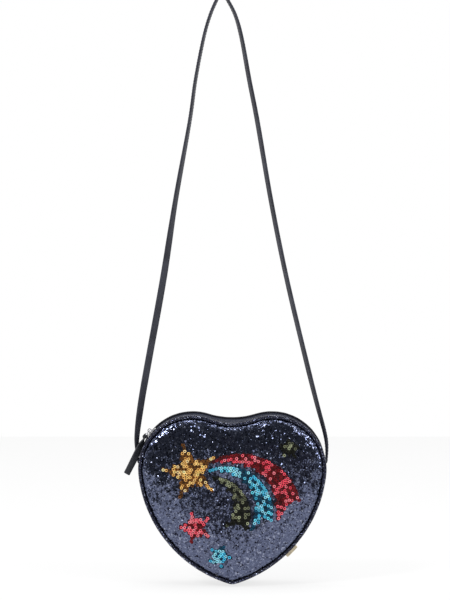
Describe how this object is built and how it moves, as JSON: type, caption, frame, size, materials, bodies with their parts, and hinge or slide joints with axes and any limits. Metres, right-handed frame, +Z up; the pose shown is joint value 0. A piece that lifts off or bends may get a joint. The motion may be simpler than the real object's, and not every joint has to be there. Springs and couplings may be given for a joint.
{
  "type": "crossbody bag",
  "caption": "Small heart-shaped crossbody bag with padded glitter panels, sequin figures, a zip along the top and one long narrow strap.",
  "frame": {"origin": "hang point: underside of the strap where it passes over a hook", "axes": "+Z up, the front panel faces -Y, +X to the right seen from the front"},
  "size_m": [0.1982, 0.0552, 0.5724],
  "materials": {
    "strap_leather": "smooth imitation leather",
    "tab_leather": "smooth imitation leather",
    "glitter": "chunky glitter cloth",
    "glitter_piping": "glitter cloth over a cord",
    "black_piping": "smooth imitation leather over a cord",
    "foam": "soft foam",
    "lining": "plain woven lining",
    "smooth_navy": "smooth imitation leather",
    "zip_tape": "woven tape",
    "zip_teeth": "nylon coil",
    "zip_metal": "plated zinc",
    "label": "woven band",
    "gold_sequins": "metallised sequins",
    "red_sequins": "metallised sequins",
    "blue_sequins": "metallised sequins",
    "black_sequins": "metallised sequins"
  },
  "bodies": {
    "strap_body": {"strap": "strap_leather"},
    "bag_body": {"front_panel": "glitter", "front_foam": "foam", "front_lining": "lining", "front_piping": "glitter_piping", "back_panel": "smooth_navy", "back_foam": "foam", "back_lining": "lining", "back_piping": "black_piping", "lower_gusset": "smooth_navy", "gusset_lining": "lining", "gusset_tab_left": "smooth_navy", "gusset_tab_right": "smooth_navy", "zip_strip_front": "smooth_navy", "zip_strip_back": "smooth_navy", "zip_tape_front": "zip_tape", "zip_tape_back": "zip_tape", "zip_teeth_front": "zip_teeth", "zip_teeth_back": "zip_teeth", "zip_stops": "zip_metal", "side_label": "label", "gold_star": "gold_sequins", "red_star": "red_sequins", "blue_star": "blue_sequins", "black_star": "black_sequins", "red_tail": "red_sequins", "blue_tail": "blue_sequins", "black_tail": "black_sequins"},
    "slider_body": {"zip_slider": "zip_metal"},
    "ring_body": {"pull_ring": "zip_metal"},
    "tab_body": {"pull_tab": "tab_leather"}
  },
  "joints": [
    {"name": "bag_swing", "type": "hinge", "parent": "strap_body", "child": "bag_body", "pos_m": [0.01, 0, -0.448], "axis": [1, 0, 0], "range_deg": [0, 90]},
    {"name": "zip_slide", "type": "hinge", "parent": "bag_body", "child": "slider_body", "pos_m": [-0.0285, 0, -0.45576], "axis": [0, 1, 0], "range_deg": [0, 60], "deforming": ["zip_teeth_front", "zip_teeth_back"]},
    {"name": "ring_swing", "type": "hinge", "parent": "slider_body", "child": "ring_body", "pos_m": [-0.07026, 0, -0.42012], "axis": [0, 1, 0], "range_deg": [0, 120]},
    {"name": "tab_swing", "type": "hinge", "parent": "ring_body", "child": "tab_body", "pos_m": [-0.07452, -0.00459, -0.4251], "axis": [-0.3723, 0.8192, -0.4363], "range_deg": [0, 60]}
  ]
}
